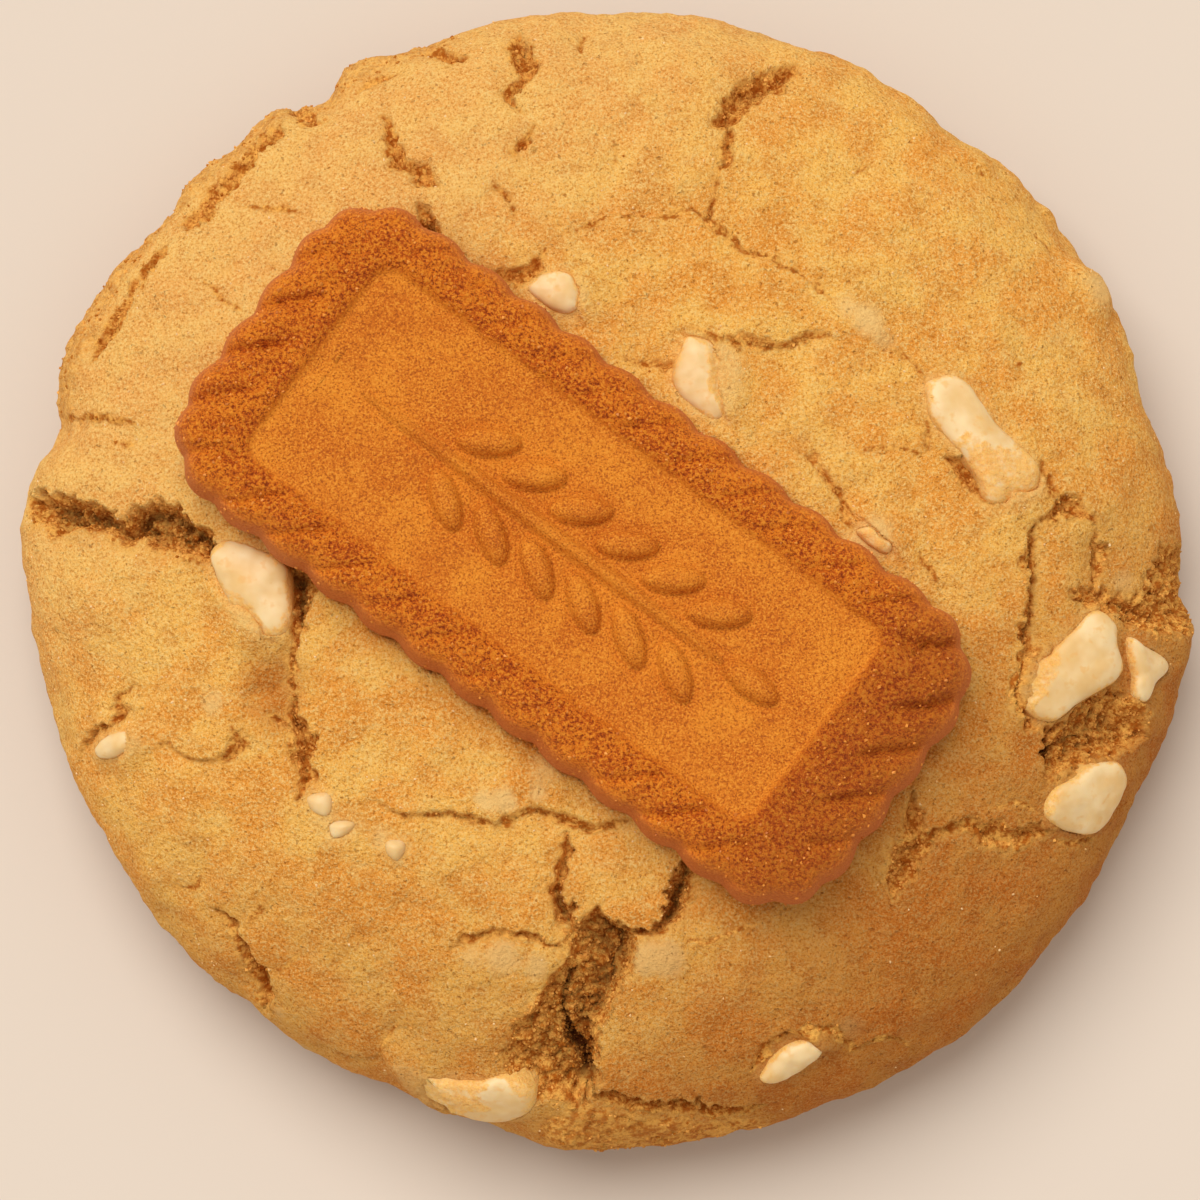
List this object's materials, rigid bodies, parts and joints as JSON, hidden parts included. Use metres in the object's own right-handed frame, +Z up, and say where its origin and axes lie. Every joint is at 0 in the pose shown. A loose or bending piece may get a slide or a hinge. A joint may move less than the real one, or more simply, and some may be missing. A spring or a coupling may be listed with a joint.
{
  "type": "white chocolate cookie with caramelised biscuit",
  "caption": "Thick round soft-baked cookie with a cracked golden crust, white chocolate pieces set in it and a scalloped caramelised biscuit pressed into its top.",
  "frame": {"origin": "centre of the cookie's flat base", "axes": "+Z up out of the base, through the biscuit on top; +X to the right and +Y away from the viewer as the cookie is seen from the front and above"},
  "size_m": [0.0951, 0.0943, 0.0258],
  "materials": {
    "crust": "matt golden baked dough with a fine sandy grain, paler where chocolate lies just under it and brown inside the cracks",
    "caramelised_biscuit": "orange-brown caramelised biscuit, smooth matt field and sandy ribbed rim with sugar grains",
    "white_chocolate": "cream white chocolate, smooth and slightly glossy, softly rounded where it melted"
  },
  "bodies": {
    "root": {"cookie": "crust", "biscuit": "caramelised_biscuit", "chunk_west": "white_chocolate", "chunk_north": "white_chocolate", "chunk_centre": "white_chocolate", "chunk_northeast": "white_chocolate", "chunk_east": "white_chocolate", "chunk_east_rim": "white_chocolate", "chunk_southeast": "white_chocolate", "chunk_south": "white_chocolate", "chunk_south_rim": "white_chocolate", "chunk_by_biscuit": "white_chocolate", "chunk_far_west": "white_chocolate", "nib_1": "white_chocolate", "nib_2": "white_chocolate", "nib_3": "white_chocolate"}
  },
  "joints": []
}
